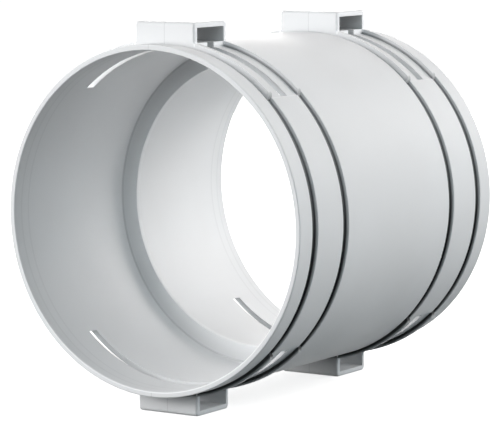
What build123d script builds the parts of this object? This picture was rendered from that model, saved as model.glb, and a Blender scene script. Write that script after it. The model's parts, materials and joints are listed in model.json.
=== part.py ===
# Straight connector for round semi-rigid ventilation duct, injection moulded in one piece.
# Two equal sockets meet at a thin stop ring inside. Each socket has a collar near its mouth:
# two turned grooves with a band between them. At the top and bottom a locking clip has its place
# on the band: a shallow seat between two raised rails that stand in the grooves. A slot goes
# through the wall along the seat, and a box-shaped loop bridges it, so that a clip slid through
# the loop can reach the duct through the slot.
# Frame: millimetres, +Z up, the duct axis along Y, the origin on the axis at the stop ring.

import os
from math import cos, radians, tan

from build123d import *

# the duct that is pushed in, and the tube around it
duct_diameter = 90.0
seal_gap = 1.75
wall = 1.75
socket_depth = 51.7

# the ring inside that stops both ducts
stop_ring_thickness = 1.8
stop_ring_opening = 83.0

# the collar with its two turned grooves
rim_to_clip_centre = 15.6
clip_width = 12.7
clip_clearance = 0.15
groove_width = 2.7
wall_under_groove = 0.7

# the seat for the clip, the rails at its sides and the slot through it
clip_seat_half_angle = 44.3
clip_seat_depth = 0.2
rail_rise = 1.1
slot_width = 3.2

# the loops that bridge the seat
loop_length = 19.7
loop_wall = 1.45
tunnel_height = 4.2
tunnel_floor_rise = 0.15

# edges
mouth_lead_in = 0.2
mouth_lead_in_depth = 3.2
rim_bevel = 0.3
groove_lip_bevel = 0.3
stop_ring_bevel = 0.2
loop_top_round = 1.1
loop_end_round = 0.7
rail_end_round = 1.6

# radii and places that follow from the sizes above
bore_radius = duct_diameter / 2 + seal_gap
outer_radius = bore_radius + wall
ring_radius = stop_ring_opening / 2
groove_floor_radius = bore_radius + wall_under_groove
seat_radius = outer_radius - clip_seat_depth
rail_radius = outer_radius + rail_rise
foot_radius = (bore_radius + groove_floor_radius) / 2
length = 2 * socket_depth + stop_ring_thickness
rim_place = length / 2
clip_centre = rim_place - rim_to_clip_centre
tunnel_width = clip_width + 2 * clip_clearance
slot_end_height = outer_radius * cos(radians(clip_seat_half_angle))
groove_offset = (tunnel_width + groove_width) / 2
tunnel_floor = outer_radius + tunnel_floor_rise
tunnel_roof = tunnel_floor + tunnel_height
loop_top = tunnel_roof + loop_wall
loop_width = tunnel_width + 2 * loop_wall


def at(section, radius, places):
    """Corners of the section that lie at this radius and at one of these places."""
    near = 1e-4
    return [
        corner
        for corner in section.vertices()
        if abs(corner.X - radius) < near and any(abs(abs(corner.Y) - place) < near for place in places)
    ]


def strip(inner, outer, low, high):
    """Rectangle of the half section, from one radius to another and one place to another."""
    centre = Pos((inner + outer) / 2, (low + high) / 2)
    return centre * Rectangle(outer - inner, high - low)


def lead_in():
    """Thin wedge that opens the bore out towards its mouth, in the half section."""
    return make_face(
        Polyline(
            (bore_radius, rim_place - mouth_lead_in_depth),
            (bore_radius + mouth_lead_in, rim_place),
            (bore_radius - mouth_lead_in, rim_place),
            (bore_radius, rim_place - mouth_lead_in_depth),
        )
    )


def tube_section():
    """Half section of the tube: wall, stop ring, grooves and the taper at each mouth."""
    section = strip(bore_radius, outer_radius, -rim_place, rim_place)
    section += strip(ring_radius, bore_radius, -stop_ring_thickness / 2, stop_ring_thickness / 2)
    lips = []
    for offset in (-groove_offset, groove_offset):
        low = clip_centre + offset - groove_width / 2
        high = low + groove_width
        section -= strip(groove_floor_radius, outer_radius, low, high)
        section -= strip(groove_floor_radius, outer_radius, -high, -low)
        lips += [low, high]
    section -= lead_in()
    section -= mirror(lead_in(), about=Plane.XZ)

    groove_depth = outer_radius - groove_floor_radius
    bevels = [
        (outer_radius, [rim_place], min(rim_bevel, wall / 4)),
        (outer_radius, lips, min(groove_lip_bevel, groove_depth / 2)),
        (ring_radius, [stop_ring_thickness / 2], min(stop_ring_bevel, stop_ring_thickness / 4)),
    ]
    for radius, places, size in bevels:
        section = chamfer(at(section, radius, places), size)
    return section


def tube():
    return revolve(tube_section(), Axis.Y)


def top_arc(inner, outer):
    """Flat arc of a ring, as long as the seat, centred on the top."""
    reach = 2 * outer
    spread = reach * tan(radians(clip_seat_half_angle))
    wedge = make_face(Polyline((0, 0), (-spread, reach), (spread, reach), (0, 0)))
    return (Circle(outer) - Circle(inner)) & wedge


def at_clip(arc, width):
    """The flat arc given its width along the tube, on the clip's place in the rear socket."""
    block = extrude(Plane.XZ * arc, width / 2, both=True)
    return Pos(0, clip_centre, 0) * block


def rails():
    """Raised arc that stands in both grooves. The seat, cut in it, leaves a rail at each side."""
    arc = top_arc(foot_radius, rail_radius)
    corners = arc.vertices().sort_by(lambda corner: corner.X**2 + corner.Y**2)[-2:]
    return at_clip(fillet(corners, rail_end_round), loop_width)


def seat():
    """The clip's shallow seat on the band, as wide as the loop's tunnel."""
    return at_clip(top_arc(seat_radius, loop_top), tunnel_width)


def slot():
    """Opening through the wall and the loop's floor, with level ends, as the mould needs."""
    slot_top = (tunnel_floor + tunnel_roof) / 2
    height = slot_top - slot_end_height
    return Pos(0, clip_centre, slot_end_height + height / 2) * Box(2 * outer_radius, slot_width, height)


def loop():
    """Box-shaped loop over the seat, open at both ends, with its foot on the tube's wall."""
    foot = bore_radius / 2
    outline = Pos(0, (foot + loop_top) / 2) * Rectangle(loop_width, loop_top - foot)
    crown = outline.vertices().group_by(Axis.Y)[-1]
    outline = fillet(crown, min(loop_top_round, 0.8 * loop_wall))
    tunnel = Pos(0, tunnel_floor + tunnel_height / 2) * Rectangle(tunnel_width, tunnel_height)
    block = extrude(Plane.YZ * outline, loop_length / 2, both=True)
    ends = block.faces().filter_by(Axis.X).edges()
    block = fillet(ends, min(loop_end_round, 0.5 * loop_wall))
    block -= extrude(Plane.YZ * tunnel, loop_length, both=True)
    block -= Rot(90, 0, 0) * Cylinder(foot_radius, 2 * loop_width)
    return Pos(0, clip_centre, 0) * block


def all_round(feature):
    """The same feature at the top and bottom of the rear socket and of the front one."""
    rear = [feature, mirror(feature, about=Plane.XY)]
    return rear + [mirror(solid, about=Plane.XZ) for solid in rear]


def connector_body():
    body = tube()
    for arc in all_round(rails()):
        body += arc
    for cut in all_round(seat()):
        body -= cut
    for bridge in all_round(loop()):
        body += bridge
    for cut in all_round(slot()):
        body -= cut
    return body


os.makedirs("parts", exist_ok=True)
export_step(connector_body(), "parts/connector_body.step")
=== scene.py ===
import json
from math import cos, pi, radians, sin

import bmesh
import bpy
from mathutils import Matrix, Vector


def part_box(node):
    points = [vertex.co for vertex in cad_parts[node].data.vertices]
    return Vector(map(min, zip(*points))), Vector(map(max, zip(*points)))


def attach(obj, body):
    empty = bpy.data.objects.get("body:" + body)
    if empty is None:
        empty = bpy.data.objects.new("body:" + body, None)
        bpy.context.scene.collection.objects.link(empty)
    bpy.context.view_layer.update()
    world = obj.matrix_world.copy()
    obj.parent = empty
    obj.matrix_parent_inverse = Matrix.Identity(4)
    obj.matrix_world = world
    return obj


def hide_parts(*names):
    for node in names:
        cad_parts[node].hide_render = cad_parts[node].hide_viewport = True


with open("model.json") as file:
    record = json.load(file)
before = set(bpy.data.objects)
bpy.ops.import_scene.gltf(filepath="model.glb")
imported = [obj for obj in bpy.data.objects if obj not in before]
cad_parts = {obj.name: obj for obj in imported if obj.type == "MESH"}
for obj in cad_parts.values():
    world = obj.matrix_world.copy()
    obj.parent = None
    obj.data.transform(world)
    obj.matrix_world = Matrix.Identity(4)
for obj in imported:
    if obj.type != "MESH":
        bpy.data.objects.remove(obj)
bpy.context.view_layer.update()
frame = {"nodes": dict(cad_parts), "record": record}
scene = bpy.context.scene
print("frame loaded")


# Small helpers for objects and node trees

nodeSpacing = 190
white = (1, 1, 1, 1)


def linkObject(name, data):
    thing = bpy.data.objects.new(name, data)
    scene.collection.objects.link(thing)
    return thing


def meshPiece(name, points, edges=(), faces=()):
    mesh = bpy.data.meshes.new(name)
    mesh.from_pydata(points, edges, faces)
    return linkObject(name, mesh)


def addNode(tree, kind, links=None, **settings):
    node = tree.nodes.new(kind)
    node.location = (nodeSpacing * len(tree.nodes), 0)
    for key, value in settings.items():
        setattr(node, key, value)
    for key, value in (links or {}).items():
        if isinstance(value, bpy.types.NodeSocket):
            tree.links.new(value, node.inputs[key])
        else:
            node.inputs[key].default_value = value
    return node


def addMath(tree, operation, *values, clamp=False):
    links = dict(enumerate(values))
    return addNode(tree, "ShaderNodeMath", links, operation=operation, use_clamp=clamp).outputs[0]


def addProduct(tree, first, *others):
    for other in others:
        first = addMath(tree, "MULTIPLY", first, other)
    return first


def addVector(tree, operation, links):
    return addNode(tree, "ShaderNodeVectorMath", links, operation=operation).outputs


def addFlat(tree, place):
    # straight out from the duct's axis to the point
    return addVector(tree, "MULTIPLY", {0: place, 1: (1, 0, 1)})[0]


def addLength(tree, vector):
    return addVector(tree, "LENGTH", {0: vector})["Value"]


def newTree(name, inputs, output):
    # an input is a size with its value, or the kind of socket for anything else
    kinds = {float: "NodeSocketFloat", int: "NodeSocketInt"}
    tree = bpy.data.node_groups.new(name, "GeometryNodeTree")
    for label, value in inputs.items():
        isSize = type(value) in kinds
        kind = kinds[type(value)] if isSize else value
        socket = tree.interface.new_socket(label, in_out="INPUT", socket_type=kind)
        if isSize:
            socket.default_value = value
    tree.interface.new_socket(output, in_out="OUTPUT", socket_type="NodeSocketGeometry")
    source = tree.nodes.new("NodeGroupInput").outputs
    target = tree.nodes.new("NodeGroupOutput").inputs[output]
    return tree, source, target


def socketId(tree, label):
    return next(item.identifier for item in tree.interface.items_tree if item.name == label)


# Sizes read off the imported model

low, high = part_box("connector_body")
mounts = {mount["name"]: mount for mount in frame["record"]["mounts"]}
outerRadius = high.x
rimPlace = high.y
loopTop = high.z
boreRadius = mounts["front_socket"]["dims"]["r_mm"] / 1000    # from millimetres
clipCentre = abs(mounts["front_foot"]["pos_m"][1])

shell = {
    "stopRingOpening": 0.0415,
    "stopRingThickness": 0.0018,
    "wallUnderGroove": 0.0007,
    "grooveWidth": 0.0027,
    "seatWidth": 0.0130,
    "seatDepth": 0.0002,
    "seatHalfAngle": 44.3,
    "seatSegments": 90,
    "railRise": 0.0011,
    "railEndRound": 0.0016,
    "slotWidth": 0.0032,
    "mouthLeadIn": 0.0002,
    "mouthLeadInDepth": 0.0032,
    "rimRound": 0.00035,
    "lipRound": 0.0003,
    "ringRound": 0.0002,
    "rootRound": 0.0003,
    "roundSteps": 5,
    "segmentsRound": 360,
    "sharpAngle": 30,
    "normalWeight": 100,
}
loop = {
    "length": 0.0197,
    "width": 0.0159,
    "tunnelFloorRise": 0.00015,
    "tunnelHeight": 0.0042,
    "topRound": 0.0011,
    "topSteps": 8,
    "endRound": 0.0007,
    "endSteps": 6,
    "footRadius": 0.0471,
}

# each cutter reaches well past what it cuts
cutters = {
    "seatOvershoot": 1.1,
    "tunnelLength": 0.05,
    "footLength": 0.2,
    "slotLength": 0.1,
}

# places that follow from the sizes above
grooveOffset = (shell["seatWidth"] + shell["grooveWidth"]) / 2
grooveFloor = boreRadius + shell["wallUnderGroove"]
tunnelFloor = outerRadius + loop["tunnelFloorRise"]
tunnelRoof = tunnelFloor + loop["tunnelHeight"]
tunnelMiddle = tunnelFloor + loop["tunnelHeight"] / 2


# The section and the loop blank are drawn directly, the rest of the shell follows from them

def sectionCorners():
    # (radius, place along the axis, rounding of the corner), from the ring to the rear mouth
    half = shell["grooveWidth"] / 2
    rear = [
        (shell["stopRingOpening"], shell["stopRingThickness"] / 2, shell["ringRound"]),
        (boreRadius, shell["stopRingThickness"] / 2, shell["rootRound"]),
        (boreRadius, rimPlace - shell["mouthLeadInDepth"], 0),
        (boreRadius + shell["mouthLeadIn"], rimPlace, shell["rimRound"]),
        (outerRadius, rimPlace, shell["rimRound"]),
    ]
    for centre in (clipCentre + grooveOffset, clipCentre - grooveOffset):
        rear += [
            (outerRadius, centre + half, shell["lipRound"]),
            (grooveFloor, centre + half, 0),
            (grooveFloor, centre - half, 0),
            (outerRadius, centre - half, shell["lipRound"]),
        ]
    front = [(radius, -place, rounding) for radius, place, rounding in reversed(rear)]
    return rear + front


def sectionPiece():
    corners = sectionCorners()
    count = len(corners)
    piece = meshPiece(
        "connector_shell",
        [(radius - outerRadius, place, 0) for radius, place, rounding in corners],
        [(i, (i + 1) % count) for i in range(count)],
    )
    rounding = piece.data.attributes.new("rounding", "FLOAT", "POINT")
    rounding.data.foreach_set("value", [corner[2] for corner in corners])
    return piece


def loopBlank():
    # a box with a rounded crown and rounded ends, its clip tunnel still to be cut
    near = 1e-6
    foot = boreRadius / 2
    size = Vector((loop["length"], loop["width"], loopTop - foot))
    shape = bmesh.new()
    bmesh.ops.create_cube(shape, size=1)
    bmesh.ops.scale(shape, vec=size, verts=shape.verts)
    bmesh.ops.translate(shape, vec=(0, clipCentre, (foot + loopTop) / 2), verts=shape.verts)

    def isLengthwise(edge):
        return abs(edge.verts[0].co.x - edge.verts[1].co.x) > near

    def roundOff(edges, radius, steps):
        # a profile of 0.5 is a plain quarter round
        bmesh.ops.bevel(shape, geom=edges, offset=radius, segments=steps, profile=0.5,
                        affect="EDGES")

    roundOff([edge for edge in shape.edges if isLengthwise(edge)
              and all(vert.co.z > loopTop - near for vert in edge.verts)],
             loop["topRound"], loop["topSteps"])
    roundOff([edge for edge in shape.edges if not isLengthwise(edge)
              and abs(edge.verts[0].co.x) > loop["length"] / 2 - near],
             loop["endRound"], loop["endSteps"])
    mesh = bpy.data.meshes.new("loop_blank")
    shape.to_mesh(mesh)
    shape.free()
    return linkObject("loop_blank", mesh)


# Node group: one feature in the rear socket's top becomes four, top and bottom of both sockets

def fourPlacesTree():
    tree, source, target = newTree("four_places", {"Feature": "NodeSocketGeometry"}, "Features")
    feature = source["Feature"]
    for turn in ((0, pi, 0), (0, 0, pi)):
        turned = addNode(tree, "GeometryNodeTransform", {"Geometry": feature, "Rotation": turn})
        both = addNode(tree, "GeometryNodeJoinGeometry")
        tree.links.new(feature, both.inputs[0])
        tree.links.new(turned.outputs[0], both.inputs[0])
        feature = both.outputs[0]
    tree.links.new(feature, target)
    return tree


# Node group: block bent round the axis, centred on the top, for the rails and the seats

def arcBlockTree():
    tree, source, target = newTree("arc_block", {
        "Inner Radius": loop["footRadius"],
        "Outer Radius": outerRadius + shell["railRise"],
        "Half Angle": radians(shell["seatHalfAngle"]),
        "Width": loop["width"],
        "Place": clipCentre,
        "End Round": 0.0,
        "Segments": shell["seatSegments"],
    }, "Block")
    inner, outer = source["Inner Radius"], source["Outer Radius"]
    halfAngle, endRound = source["Half Angle"], source["End Round"]
    middle = addProduct(tree, addMath(tree, "ADD", inner, outer), 0.5)
    depth = addMath(tree, "SUBTRACT", outer, inner)
    start = addMath(tree, "SUBTRACT", pi / 2, halfAngle)
    sweep = addProduct(tree, halfAngle, 2.0)
    path = addNode(tree, "GeometryNodeCurveArc", {
        "Resolution": source["Segments"],
        "Radius": middle,
        "Start Angle": start,
        "Sweep Angle": sweep,
    }, mode="RADIUS")
    section = addNode(tree, "GeometryNodeCurvePrimitiveQuadrilateral",
                      {"Width": depth, "Height": source["Width"]}, mode="RECTANGLE")
    block = addNode(tree, "GeometryNodeCurveToMesh", {
        "Curve": path.outputs[0],
        "Profile Curve": section.outputs[0],
        "Fill Caps": True,
    })
    # the arc lies in the XY plane: a quarter turn puts its axis along Y and its middle at the top
    place = addNode(tree, "ShaderNodeCombineXYZ", {"Y": source["Place"]})
    upright = addNode(tree, "GeometryNodeTransform", {
        "Geometry": block.outputs[0],
        "Translation": place.outputs[0],
        "Rotation": (pi / 2, 0, 0),
    })

    # both ends of the outer face bend down to the end walls, with a quarter round
    position = addNode(tree, "GeometryNodeInputPosition").outputs[0]
    axis = addNode(tree, "ShaderNodeSeparateXYZ", {0: position}).outputs
    flat = addFlat(tree, position)
    radius = addLength(tree, flat)
    angle = addMath(tree, "ARCTAN2", addMath(tree, "ABSOLUTE", axis["X"]), axis["Z"])
    fromEnd = addProduct(tree, addMath(tree, "SUBTRACT", halfAngle, angle), outer)
    overhang = addMath(tree, "MAXIMUM", addMath(tree, "SUBTRACT", endRound, fromEnd), 0.0)
    overhang = addMath(tree, "MINIMUM", overhang, endRound)
    square = addMath(tree, "SUBTRACT", addMath(tree, "POWER", endRound, 2.0),
                     addMath(tree, "POWER", overhang, 2.0))
    drop = addMath(tree, "SUBTRACT", addMath(tree, "SQRT", square), endRound)
    outward = addVector(tree, "NORMALIZE", {0: flat})[0]
    bent = addNode(tree, "GeometryNodeSetPosition", {
        "Geometry": upright.outputs[0],
        "Selection": addMath(tree, "GREATER_THAN", radius, middle),
        "Offset": addVector(tree, "SCALE", {0: outward, "Scale": drop})[0],
    })
    tree.links.new(bent.outputs[0], target)
    return tree


# Main tree: section turned round the axis, rails set on, seats cut, loops set on, slots cut through

connectorSizes = {
    "Outer Radius": outerRadius,
    "Clip Place": clipCentre,
    "Segments Round": shell["segmentsRound"],
    "Seat Radius": outerRadius - shell["seatDepth"],
    "Seat Width": shell["seatWidth"],
    "Seat Half Angle": radians(shell["seatHalfAngle"]),
    "Rail Radius": outerRadius + shell["railRise"],
    "Rails Width": loop["width"],
    "Rail End Round": shell["railEndRound"],
    "Slot Width": shell["slotWidth"],
    "Slot Top": tunnelMiddle,
    "Loop Top": loopTop,
    "Foot Radius": loop["footRadius"],
    "Tunnel Width": shell["seatWidth"],
    "Tunnel Height": loop["tunnelHeight"],
    "Tunnel Middle": tunnelMiddle,
}


def connectorTree():
    tree, source, target = newTree("duct_connector", {
        "Section": "NodeSocketGeometry",
        "Loop Blank": "NodeSocketObject",
        **connectorSizes,
        "Material": "NodeSocketMaterial",
    }, "Connector")
    fourPlaces = fourPlacesTree()
    arcBlock = arcBlockTree()

    def atFour(geometry):
        links = {"Feature": geometry}
        return addNode(tree, "GeometryNodeGroup", links, node_tree=fourPlaces).outputs[0]

    def turnedBlock(sizes):
        return addNode(tree, "GeometryNodeGroup", sizes, node_tree=arcBlock).outputs[0]

    def combine(operation, first, second):
        node = addNode(tree, "GeometryNodeMeshBoolean", operation=operation, solver="MANIFOLD")
        firstInput = "Mesh 1" if operation == "DIFFERENCE" else "Mesh 2"
        tree.links.new(first, node.inputs[firstInput])
        tree.links.new(second, node.inputs["Mesh 2"])
        return node.outputs[0]

    def clipBox(x, y, z, height):
        # a plain box on the clip's place, its middle at this height
        size = addNode(tree, "ShaderNodeCombineXYZ", {"X": x, "Y": y, "Z": z})
        place = addNode(tree, "ShaderNodeCombineXYZ", {"Y": source["Clip Place"], "Z": height})
        cube = addNode(tree, "GeometryNodeMeshCube", {"Size": size.outputs[0]})
        return addNode(tree, "GeometryNodeTransform",
                       {"Geometry": cube.outputs[0], "Translation": place.outputs[0]}).outputs[0]

    outline = addNode(tree, "GeometryNodeMeshToCurve", {"Mesh": source["Section"]})
    rounding = addNode(tree, "GeometryNodeInputNamedAttribute", {"Name": "rounding"},
                       data_type="FLOAT")
    rounded = addNode(tree, "GeometryNodeFilletCurve", {
        "Curve": outline.outputs[0],
        "Radius": rounding.outputs[0],
        "Count": shell["roundSteps"],
    }, mode="POLY")
    path = addNode(tree, "GeometryNodeCurvePrimitiveCircle", {
        "Resolution": source["Segments Round"],
        "Radius": source["Outer Radius"],
    }, mode="RADIUS")
    turned = addNode(tree, "GeometryNodeCurveToMesh",
                     {"Curve": path.outputs[0], "Profile Curve": rounded.outputs[0]})
    outward = addNode(tree, "GeometryNodeFlipFaces", {"Mesh": turned.outputs[0]})
    tube = addNode(tree, "GeometryNodeTransform",
                   {"Geometry": outward.outputs[0], "Rotation": (pi / 2, 0, 0)})

    rails = turnedBlock({
        "Inner Radius": source["Foot Radius"],
        "Outer Radius": source["Rail Radius"],
        "Half Angle": source["Seat Half Angle"],
        "Width": source["Rails Width"],
        "Place": source["Clip Place"],
        "End Round": source["Rail End Round"],
        "Segments": source["Segments Round"],
    })
    railed = combine("UNION", tube.outputs[0], atFour(rails))
    seat = turnedBlock({
        "Inner Radius": source["Seat Radius"],
        "Outer Radius": addProduct(tree, source["Loop Top"], cutters["seatOvershoot"]),
        "Half Angle": source["Seat Half Angle"],
        "Width": source["Seat Width"],
        "Place": source["Clip Place"],
    })
    seated = combine("DIFFERENCE", railed, atFour(seat))

    blank = addNode(tree, "GeometryNodeObjectInfo", {"Object": source["Loop Blank"]},
                    transform_space="ORIGINAL")
    tunnel = clipBox(cutters["tunnelLength"], source["Tunnel Width"], source["Tunnel Height"],
                     source["Tunnel Middle"])
    pierced = combine("DIFFERENCE", blank.outputs["Geometry"], tunnel)
    drum = addNode(tree, "GeometryNodeMeshCylinder", {
        "Vertices": source["Segments Round"],
        "Radius": source["Foot Radius"],
        "Depth": cutters["footLength"],
    })
    axle = addNode(tree, "GeometryNodeTransform",
                   {"Geometry": drum.outputs[0], "Rotation": (pi / 2, 0, 0)})
    bridge = combine("DIFFERENCE", pierced, axle.outputs[0])
    looped = combine("UNION", seated, atFour(bridge))

    # the slot is a plain box, so its ends are level: it starts where the seat ends on the band
    slotEnd = addProduct(tree, source["Outer Radius"],
                         addMath(tree, "COSINE", source["Seat Half Angle"]))
    slotHeight = addMath(tree, "SUBTRACT", source["Slot Top"], slotEnd)
    slotMiddle = addProduct(tree, addMath(tree, "ADD", source["Slot Top"], slotEnd), 0.5)
    slot = clipBox(cutters["slotLength"], source["Slot Width"], slotHeight, slotMiddle)
    slotted = combine("DIFFERENCE", looped, atFour(slot))

    real = addNode(tree, "GeometryNodeRealizeInstances", {"Geometry": slotted})
    smooth = addNode(tree, "GeometryNodeSetShadeSmooth", {"Geometry": real.outputs[0]})
    dressed = addNode(tree, "GeometryNodeSetMaterial",
                      {"Geometry": smooth.outputs[0], "Material": source["Material"]})
    tree.links.new(dressed.outputs[0], target)
    return tree


def buildShell(material):
    piece = sectionPiece()
    blank = loopBlank()
    tree = connectorTree()
    modifier = piece.modifiers.new("shape", "NODES")
    modifier.node_group = tree
    for label, value in {**connectorSizes, "Loop Blank": blank, "Material": material}.items():
        modifier[socketId(tree, label)] = value
    depsgraph = bpy.context.evaluated_depsgraph_get()
    mesh = bpy.data.meshes.new_from_object(piece.evaluated_get(depsgraph))
    piece.modifiers.clear()
    piece.data = mesh
    bpy.data.objects.remove(blank)
    mesh.set_sharp_from_angle(angle=radians(shell["sharpAngle"]))
    weighted = piece.modifiers.new("normals", "WEIGHTED_NORMAL")
    weighted.keep_sharp = True
    weighted.weight = shell["normalWeight"]
    return piece


# Finish: satin white plastic, with slow patches of tone and gloss and a fine grain

plastic = {
    "colour": (0.800, 0.813, 0.822, 1),
    "warmPatch": (0.788, 0.798, 0.805, 1),
    # colour of the painted highlights and painted light on the loop ends, mouth lip, seat ends,
    # ring edge and slot walls
    "paintedLightColour": (0.93, 0.94, 0.95, 1),
    "specular": 0.15,
    "patchScale": 34.0,
    "patchDetail": 3.0,
    "patchContrast": (0.35, 0.65),    # noise levels between which one tone turns into the other
    "roughness": (0.44, 0.54),
    "roughnessContrast": (0.3, 0.7),
    "grainScale": 2600.0,
    "grainDetail": 2.0,
    "grainHeight": 0.000006,
}


def addRamp(tree, value, start, end, low=0.0, high=1.0):
    node = addNode(tree, "ShaderNodeMapRange", {
        "Value": value,
        "From Min": start,
        "From Max": end,
        "To Min": low,
        "To Max": high,
    }, interpolation_type="SMOOTHSTEP")
    return node.outputs[0]


def addReach(tree, value, base, reach, low=0.0, high=1.0):
    # nothing at the first distance from the base, all of it at the second
    return addRamp(tree, value, base + reach[0], base + reach[1], low, high)


def addTurn(tree, angle, degrees, low=0.0, high=1.0):
    return addRamp(tree, angle, radians(degrees[0]), radians(degrees[1]), low, high)


def addBand(tree, value, centre, width, soft):
    # one inside the band, nothing outside it
    away = addMath(tree, "ABSOLUTE", addMath(tree, "SUBTRACT", value, centre))
    return addRamp(tree, away, (width + soft) / 2, (width - soft) / 2)


def addTint(tree, colour, factor, tint, blend="MIX"):
    links = {0: factor, 6: colour, 7: tint}
    return addNode(tree, "ShaderNodeMix", links, data_type="RGBA", blend_type=blend).outputs[2]


def addShade(tree, colour, factor, level):
    return addTint(tree, colour, factor, (level, level, level, 1), "MULTIPLY")


# Where a point lies on the shell. It is the same on both sides of its three middle planes, so most
# of these are distances from them. In the marks further down, a pair of distances or angles says
# where a mark begins and where it is full.

masks = {
    "outerSkin": (0.0003, 0.0005),    # above the bore
    "seatSoftAngle": 0.1,
}


def whereOnShell(tree):
    place = addNode(tree, "ShaderNodeTexCoord").outputs["Object"]
    axis = addNode(tree, "ShaderNodeSeparateXYZ", {0: place}).outputs
    radius = addLength(tree, addFlat(tree, place))
    across = addMath(tree, "ABSOLUTE", axis["X"])
    along = addMath(tree, "ABSOLUTE", axis["Y"])
    upDown = addMath(tree, "ABSOLUTE", axis["Z"])
    fromTop = addMath(tree, "ARCTAN2", across, upDown)
    seatEnd = shell["seatHalfAngle"]
    soft = masks["seatSoftAngle"]
    return {
        "place": place,
        "x": axis["X"],
        "z": axis["Z"],
        "radius": radius,
        "across": across,
        "along": along,
        "upDown": upDown,
        "fromTop": fromTop,
        "fromAbove": addMath(tree, "ARCTAN2", across, axis["Z"]),
        "fromClip": addMath(tree, "ABSOLUTE", addMath(tree, "SUBTRACT", along, clipCentre)),
        "outside": addReach(tree, radius, boreRadius, masks["outerSkin"]),
        "inSeat": addTurn(tree, fromTop, (seatEnd + soft, seatEnd - soft)),
    }


# Painted shade on the groove floors, fading up the walls and towards the loops on top. Underneath
# it covers the rails as well, almost up to their tops.

grooveShade = {
    "colour": (0.005, 0.006, 0.007, 1),
    "softEdge": 0.00004,
    "wallTop": -0.00010,    # from the tube's outside
    "wallPower": (3.0, 0.5),    # above 1 keeps the shade near the floor, below 1 lets it climb
    "wallPowerAngles": (50, 130),
    "strength": (0.50, 1.0),
    "strengthAngles": (30, 110),
    "railStrength": (0.0, 0.9),
    "railHeights": (0.0011, 0.0003),
    "railAngles": (128, 136),
}


def grooveMask(tree, at):
    mark = grooveShade
    width = shell["grooveWidth"] + mark["softEdge"]
    groove = addBand(tree, at["fromClip"], grooveOffset, width, mark["softEdge"])
    deep = addRamp(tree, at["radius"], outerRadius + mark["wallTop"], grooveFloor)
    power = addTurn(tree, at["fromAbove"], mark["wallPowerAngles"], *mark["wallPower"])
    strength = addTurn(tree, at["fromAbove"], mark["strengthAngles"], *mark["strength"])
    inGroove = addProduct(tree, addMath(tree, "POWER", deep, power), strength)
    below = addTurn(tree, at["fromAbove"], mark["railAngles"])
    overRails = addReach(tree, at["radius"], outerRadius, mark["railHeights"],
                         *mark["railStrength"])
    covered = addMath(tree, "MAXIMUM", inGroove, addProduct(tree, below, overRails))
    return addProduct(tree, groove, at["outside"], covered)


# Thin shade along the foot of each rail on the seat's side, and over the rails' rounded ends

railShade = {
    "footShade": 0.50,
    "footWidth": 0.0004,
    "footSoftEdge": 0.0002,
    "footHeights": (0.0006, 0.0),
    "endShade": 0.66,
    "endSoftEdge": 0.0001,
    "endFrom": (42.4, 43.6),
    "endTo": (44.5, 44.4),
}


def shadeRails(tree, at, colour):
    mark = railShade
    foot = addBand(tree, at["fromClip"], shell["seatWidth"] / 2,
                   mark["footWidth"], mark["footSoftEdge"])
    nearFoot = addReach(tree, at["radius"], outerRadius, mark["footHeights"])
    foot = addProduct(tree, foot, at["outside"], nearFoot, at["inSeat"])
    colour = addShade(tree, colour, foot, mark["footShade"])

    railMiddle = (shell["seatWidth"] + loop["width"]) / 4
    railWidth = (loop["width"] - shell["seatWidth"]) / 2
    onRail = addBand(tree, at["fromClip"], railMiddle, railWidth, mark["endSoftEdge"])
    end = addProduct(tree, addTurn(tree, at["fromTop"], mark["endFrom"]),
                     addTurn(tree, at["fromTop"], mark["endTo"]), onRail, at["outside"])
    return addShade(tree, colour, end, mark["endShade"])


# Painted highlight: a fine light line where each seat ends on the band

seatEndHighlight = {
    "light": 0.7,
    "beyondSeat": 0.05,
    "widthAngle": 0.35,
    "softAngle": 0.15,
    "sideEdge": (0.0, -0.0002),
}


def paintSeatEndHighlights(tree, at, colour):
    mark = seatEndHighlight
    end = addBand(tree, at["fromTop"], radians(shell["seatHalfAngle"] + mark["beyondSeat"]),
                  radians(mark["widthAngle"]), radians(mark["softAngle"]))
    onSeat = addReach(tree, at["fromClip"], shell["seatWidth"] / 2, mark["sideEdge"])
    line = addProduct(tree, end, onSeat, at["outside"], mark["light"])
    return addTint(tree, colour, line, plastic["paintedLightColour"])


# Shade inside the upper loops' tunnels

tunnelShade = {
    "shade": 0.80,
    "wallEdge": (0.00012, 0.00002),
    "endEdge": (0.0002, -0.0008),
    "upperHalf": (-0.01, 0.01),
}


def shadeTunnels(tree, at, colour):
    mark = tunnelShade
    besideWall = addReach(tree, at["fromClip"], shell["seatWidth"] / 2, mark["wallEdge"])
    underRoof = addReach(tree, at["upDown"], tunnelRoof, mark["wallEdge"])
    within = addReach(tree, at["across"], loop["length"] / 2, mark["endEdge"])
    upper = addReach(tree, at["z"], 0.0, mark["upperHalf"])
    inTunnel = addProduct(tree, within, besideWall, underRoof, at["outside"], upper)
    return addShade(tree, colour, inTunnel, mark["shade"])


# Painted shade on the stop ring's faces, with a thin darker painted line at its root and a painted
# highlight on its edge

ringMarks = {
    "faceShade": 0.87,
    "faceEdge": (0.0012, 0.0009),    # from the ring's middle
    "faceFull": -0.0005,    # from the bore
    "boreEdge": (0.0004, 0.0002),
    "rootShade": 0.87,
    "rootWidth": 0.0005,
    "rootSoftEdge": 0.0003,
    "rootAway": 0.00015,    # from the ring's face
    "rootHeights": (-0.0006, -0.0004),
    "edgeLight": 0.35,
    "edgeHeights": (0.0003, 0.00015),
}


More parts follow.
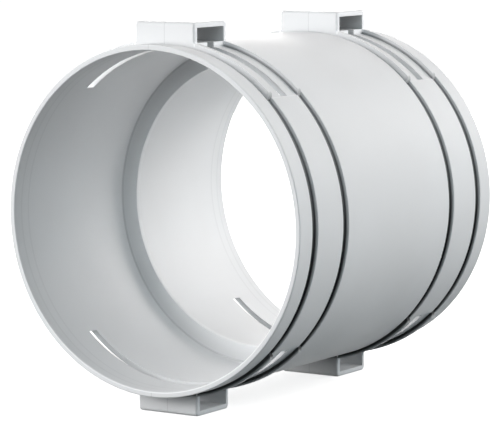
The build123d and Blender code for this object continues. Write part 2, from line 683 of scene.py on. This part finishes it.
def markRing(tree, at, colour):
    mark = ringMarks
    opening = shell["stopRingOpening"]
    face = addReach(tree, at["along"], 0.0, mark["faceEdge"])
    upFace = addRamp(tree, at["radius"], opening, boreRadius + mark["faceFull"])
    underBore = addReach(tree, at["radius"], boreRadius, mark["boreEdge"])
    colour = addShade(tree, colour, addProduct(tree, face, upFace, underBore), mark["faceShade"])

    rootPlace = shell["stopRingThickness"] / 2 + mark["rootAway"]
    root = addBand(tree, at["along"], rootPlace, mark["rootWidth"], mark["rootSoftEdge"])
    atBore = addReach(tree, at["radius"], boreRadius, mark["rootHeights"])
    colour = addShade(tree, colour, addProduct(tree, root, underBore, atBore), mark["rootShade"])

    edge = addReach(tree, at["radius"], opening, mark["edgeHeights"])
    return addTint(tree, colour, addProduct(tree, edge, mark["edgeLight"]), plastic["paintedLightColour"])


# Painted highlights that make the loops' end faces and the mouth's inner edge lighter

edgeHighlights = {
    "endFrom": (-0.0003, -0.0001),
    "endTo": (0.0004, 0.0002),
    "endHeights": (-0.0009, -0.0006),
    "lipWidth": 0.0003,
    "lipSoftEdge": 0.0001,
    "lipPlaces": (-0.0007, -0.0004),
}


def paintEdgeHighlights(tree, at, colour):
    mark = edgeHighlights
    loopEnd = loop["length"] / 2
    end = addProduct(tree, addReach(tree, at["across"], loopEnd, mark["endFrom"]),
                     addReach(tree, at["upDown"], outerRadius, mark["endHeights"]),
                     addReach(tree, at["across"], loopEnd, mark["endTo"]))
    colour = addTint(tree, colour, end, plastic["paintedLightColour"])
    lipRadius = boreRadius + shell["mouthLeadIn"] + mark["lipWidth"] / 2
    lip = addBand(tree, at["radius"], lipRadius, mark["lipWidth"], mark["lipSoftEdge"])
    mouth = addReach(tree, at["along"], rimPlace, mark["lipPlaces"])
    return addTint(tree, colour, addProduct(tree, lip, mouth), plastic["paintedLightColour"])


# The top slots' side walls: light where the daylight comes in on the left, a little shaded on the
# right

slotMarks = {
    "shade": 0.92,
    "wallWidth": 0.00008,
    "wallSoftEdge": 0.00004,
    "heights": (0.00002, 0.0001),
    "upperHalf": (0.0, 0.01),
    "leftHalf": (0.0, -0.01),
    "rightHalf": (0.0, 0.01),
}


def markSlots(tree, at, colour):
    mark = slotMarks
    wall = addBand(tree, at["fromClip"], shell["slotWidth"] / 2,
                   mark["wallWidth"], mark["wallSoftEdge"])
    wall = addProduct(tree, wall, addReach(tree, at["radius"], boreRadius, mark["heights"]),
                      at["inSeat"], addReach(tree, at["z"], 0.0, mark["upperHalf"]))
    lit = addProduct(tree, wall, addReach(tree, at["x"], 0.0, mark["leftHalf"]))
    shaded = addProduct(tree, wall, addReach(tree, at["x"], 0.0, mark["rightHalf"]))
    colour = addTint(tree, colour, lit, plastic["paintedLightColour"])
    return addShade(tree, colour, shaded, mark["shade"])


# A parting line along the top and bottom, left by the mould, and two faint darker rings in each
# mouth

partingAndMouthRings = {
    "partingWidth": 0.00022,
    "partingShade": 0.86,
    "partingHeight": 4.0,    # times the grain's height
    "ringPlaces": (0.0032, 0.0063),
    "ringWidth": 0.0005,
    "ringShade": 0.935,
    "ringHeights": (0.0006, 0.0003),
}


def partingMask(tree, at):
    width = partingAndMouthRings["partingWidth"]
    return addProduct(tree, addBand(tree, at["across"], 0.0, width, width), at["outside"])


def markPartingAndMouthRings(tree, at, colour, parting):
    mark = partingAndMouthRings
    colour = addShade(tree, colour, parting, mark["partingShade"])
    for depth in mark["ringPlaces"]:
        ring = addBand(tree, at["along"], rimPlace - depth, mark["ringWidth"], mark["ringWidth"])
        inside = addReach(tree, at["radius"], boreRadius, mark["ringHeights"])
        colour = addShade(tree, colour, addProduct(tree, ring, inside), mark["ringShade"])
    return colour


def whitePlastic():
    material = bpy.data.materials.new("white_plastic")
    material.use_nodes = True
    tree = material.node_tree
    shader = tree.nodes["Principled BSDF"]
    at = whereOnShell(tree)

    patches = addNode(tree, "ShaderNodeTexNoise", {
        "Vector": at["place"],
        "Scale": plastic["patchScale"],
        "Detail": plastic["patchDetail"],
    }).outputs["Fac"]
    patch = addRamp(tree, patches, *plastic["patchContrast"])
    colour = addTint(tree, plastic["colour"], patch, plastic["warmPatch"])
    gloss = addRamp(tree, patches, *plastic["roughnessContrast"], *plastic["roughness"])

    # the grooves' shade is matt as well as dark
    groove = grooveMask(tree, at)
    colour = addTint(tree, colour, groove, grooveShade["colour"])
    gloss = addMath(tree, "MAXIMUM", gloss, groove)

    colour = shadeRails(tree, at, colour)
    colour = paintSeatEndHighlights(tree, at, colour)
    colour = shadeTunnels(tree, at, colour)
    colour = markRing(tree, at, colour)
    colour = paintEdgeHighlights(tree, at, colour)
    colour = markSlots(tree, at, colour)
    parting = partingMask(tree, at)
    colour = markPartingAndMouthRings(tree, at, colour, parting)

    # fine grain of the mould's surface, with the parting line standing up from it
    grain = addNode(tree, "ShaderNodeTexNoise", {
        "Vector": at["place"],
        "Scale": plastic["grainScale"],
        "Detail": plastic["grainDetail"],
    }).outputs["Fac"]
    height = addMath(tree, "ADD", grain, addProduct(tree, parting, partingAndMouthRings["partingHeight"]))
    bump = addNode(tree, "ShaderNodeBump", {"Height": height, "Distance": plastic["grainHeight"]})

    tree.links.new(colour, shader.inputs["Base Color"])
    tree.links.new(gloss, shader.inputs["Roughness"])
    tree.links.new(bump.outputs[0], shader.inputs["Normal"])
    shader.inputs["Specular IOR Level"].default_value = plastic["specular"]
    return material


# Stage: floor and world are white to the camera and a dim bluish grey to the object

stage = {
    "size": 12.0,
    "gap": 0.00002,
    "floorColour": (0.9, 0.9, 0.9, 1),
    "floorBounce": (0.042, 0.053, 0.056, 1),
    "ownWhite": (0.72, 1.0),    # near the object and far from it
    "ownWhiteReach": (0.08, 0.45),
    "worldColour": (0.75, 0.90, 1, 1),
    "worldStrength": 0.045,
    "backgroundStrength": 1.0,
}


def splitByRay(tree, target, toObject, toCamera):
    light = addNode(tree, "ShaderNodeLightPath")
    seen = addMath(tree, "ADD", light.outputs["Is Camera Ray"], light.outputs["Is Glossy Ray"])
    seen = addMath(tree, "ADD", seen, light.outputs["Is Transmission Ray"], clamp=True)
    mix = addNode(tree, "ShaderNodeMixShader", {0: seen, 1: toObject, 2: toCamera})
    tree.links.new(mix.outputs[0], target)


def floorMaterial():
    material = bpy.data.materials.new("pale_floor")
    material.use_nodes = True
    tree = material.node_tree
    tree.nodes.remove(tree.nodes["Principled BSDF"])
    grey = addNode(tree, "ShaderNodeBsdfDiffuse", {"Color": stage["floorBounce"]})
    bright = addNode(tree, "ShaderNodeBsdfDiffuse", {"Color": stage["floorColour"]})
    # the floor's own white grows away from the object, where the lamps don't reach
    place = addNode(tree, "ShaderNodeTexCoord").outputs["Object"]
    away = addLength(tree, place)
    strength = addRamp(tree, away, *stage["ownWhiteReach"], *stage["ownWhite"])
    glow = addNode(tree, "ShaderNodeEmission", {"Color": white, "Strength": strength})
    shown = addNode(tree, "ShaderNodeAddShader", {0: bright.outputs[0], 1: glow.outputs[0]})
    target = tree.nodes["Material Output"].inputs["Surface"]
    splitByRay(tree, target, grey.outputs[0], shown.outputs[0])
    return material


def buildFloor():
    half = stage["size"] / 2
    level = low.z - stage["gap"]    # a hair under the feet, so that the two faces don't flicker
    corners = [(-half, -half, level), (half, -half, level), (half, half, level),
               (-half, half, level)]
    floor = meshPiece("floor", corners, faces=[(0, 1, 2, 3)])
    floor.data.materials.append(floorMaterial())


def buildWorld():
    world = bpy.data.worlds.new("studio")
    scene.world = world
    world.use_nodes = True
    tree = world.node_tree
    grey = tree.nodes["Background"]
    grey.inputs["Color"].default_value = stage["worldColour"]
    grey.inputs["Strength"].default_value = stage["worldStrength"]
    shown = addNode(tree, "ShaderNodeBackground",
                    {"Color": white, "Strength": stage["backgroundStrength"]})
    target = tree.nodes["World Output"].inputs["Surface"]
    splitByRay(tree, target, grey.outputs[0], shown.outputs[0])


# Lamps: softboxes round the object, each turned to its middle

lamps = {
    "rear_right": {"azimuth": 150, "elevation": 27, "power": 3.12, "colour": (1, 0.93, 0.90)},
    "right": {"azimuth": 120, "elevation": 27, "power": 4.85, "colour": (1, 0.94, 0.91)},
    "right_low": {"azimuth": 110, "elevation": 4, "power": 2.1, "colour": (0.72, 0.91, 1)},
    "rear_right_low": {"azimuth": 150, "elevation": 4, "power": 1.02, "colour": (0.85, 0.95, 1)},
    "front_right": {"azimuth": 30, "elevation": 27, "power": 1.84, "colour": (0.86, 0.96, 1)},
    "front_left": {"azimuth": 330, "elevation": 27, "power": 5.07, "colour": (1, 0.96, 0.95)},
    "front_left_low": {"azimuth": 330, "elevation": 4, "power": 5.90, "colour": (1, 1, 1)},
    "left": {"azimuth": 262, "elevation": 18, "power": 2.6, "colour": (1, 1, 1)},
    "rear_left": {"azimuth": 206, "elevation": 24, "power": 0.7, "colour": (1, 1, 1)},
    "rear_left_low": {"azimuth": 210, "elevation": 4, "power": 5.55, "colour": (1, 0.97, 0.94)},
}
lampSize = 0.55
lampDistance = 1.0


def direction(azimuth, elevation):
    # azimuth 0 is in front of the mouth that the camera sees, and grows towards the right
    across, upward = radians(azimuth), radians(elevation)
    return Vector((sin(across) * cos(upward), -cos(across) * cos(upward), sin(upward)))


def buildLamps():
    for name, lamp in lamps.items():
        data = bpy.data.lights.new(name, "AREA")
        data.size = lampSize
        data.energy = lamp["power"]
        data.color = lamp["colour"]
        light = linkObject(name, data)
        towards = direction(lamp["azimuth"], lamp["elevation"])
        light.location = towards * lampDistance
        light.rotation_euler = towards.to_track_quat("Z", "Y").to_euler()


# Camera at the photograph's angle

camera = {
    "azimuth": 33.35,
    "elevation": 6.64,
    "roll": -0.28,
    "distance": 0.7977,
    "offset": (-0.00154, -0.00243),
    "lens": 198.9,
    "sensor": 36,
    "farthest": 50,
}


def buildCamera():
    roll = radians(camera["roll"])
    back = direction(camera["azimuth"], camera["elevation"])
    across = Vector((-back.y, back.x, 0)).normalized()
    upward = back.cross(across)
    right = cos(roll) * across + sin(roll) * upward
    up = cos(roll) * upward - sin(roll) * across
    place = back * camera["distance"] + right * camera["offset"][0] + up * camera["offset"][1]
    data = bpy.data.cameras.new("camera")
    data.lens = camera["lens"]
    data.sensor_width = camera["sensor"]
    data.clip_end = camera["farthest"]
    view = linkObject("camera", data)
    turn = Matrix((right, up, back)).transposed().to_4x4()
    view.matrix_world = Matrix.Translation(place) @ turn
    scene.camera = view


scene.view_settings.view_transform = "Standard"
whiteFinish = whitePlastic()
connectorShell = buildShell(whiteFinish)
print("shell built:", len(connectorShell.data.polygons), "faces")
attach(connectorShell, "root")
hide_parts("connector_body")
for slotOfNode in frame["nodes"]["connector_body"].material_slots:
    slotOfNode.material = whiteFinish

buildFloor()
buildWorld()
buildLamps()
buildCamera()
print("stage, lamps and camera set")
